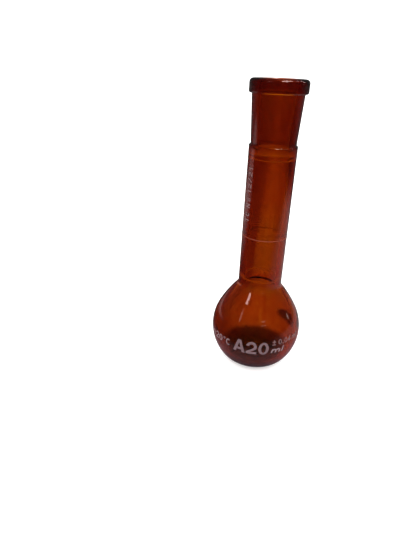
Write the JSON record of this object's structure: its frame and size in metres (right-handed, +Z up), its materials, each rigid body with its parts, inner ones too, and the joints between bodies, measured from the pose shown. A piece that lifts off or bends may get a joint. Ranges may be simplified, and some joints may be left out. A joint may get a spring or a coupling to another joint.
{
  "type": "volumetric flask",
  "caption": "Amber glass volumetric flask: round bulb with a flat foot, long wide neck with a graduation ring, and an open ground socket with a beaded rim.",
  "frame": {"origin": "middle of the foot's lowest face, on the axis of the flask", "axes": "+Z up along the axis of revolution; the capacity mark faces -Y; +X is to the right of someone reading it"},
  "size_m": [0.0356, 0.0356, 0.1075],
  "materials": {
    "amber_glass": "clear amber borosilicate glass, fire polished outside, ground inside the socket",
    "fired_enamel": "matt white fired-on enamel",
    "ring_enamel": "thin brown fired-on line"
  },
  "bodies": {
    "root": {"bulb": "amber_glass", "neck_tube": "amber_glass", "ground_socket": "amber_glass", "graduation_ring": "ring_enamel", "class_mark": "fired_enamel", "capacity_mark": "fired_enamel", "unit_mark": "fired_enamel", "tolerance_mark": "fired_enamel", "temperature_mark": "fired_enamel", "socket_size_mark": "fired_enamel"}
  },
  "joints": []
}
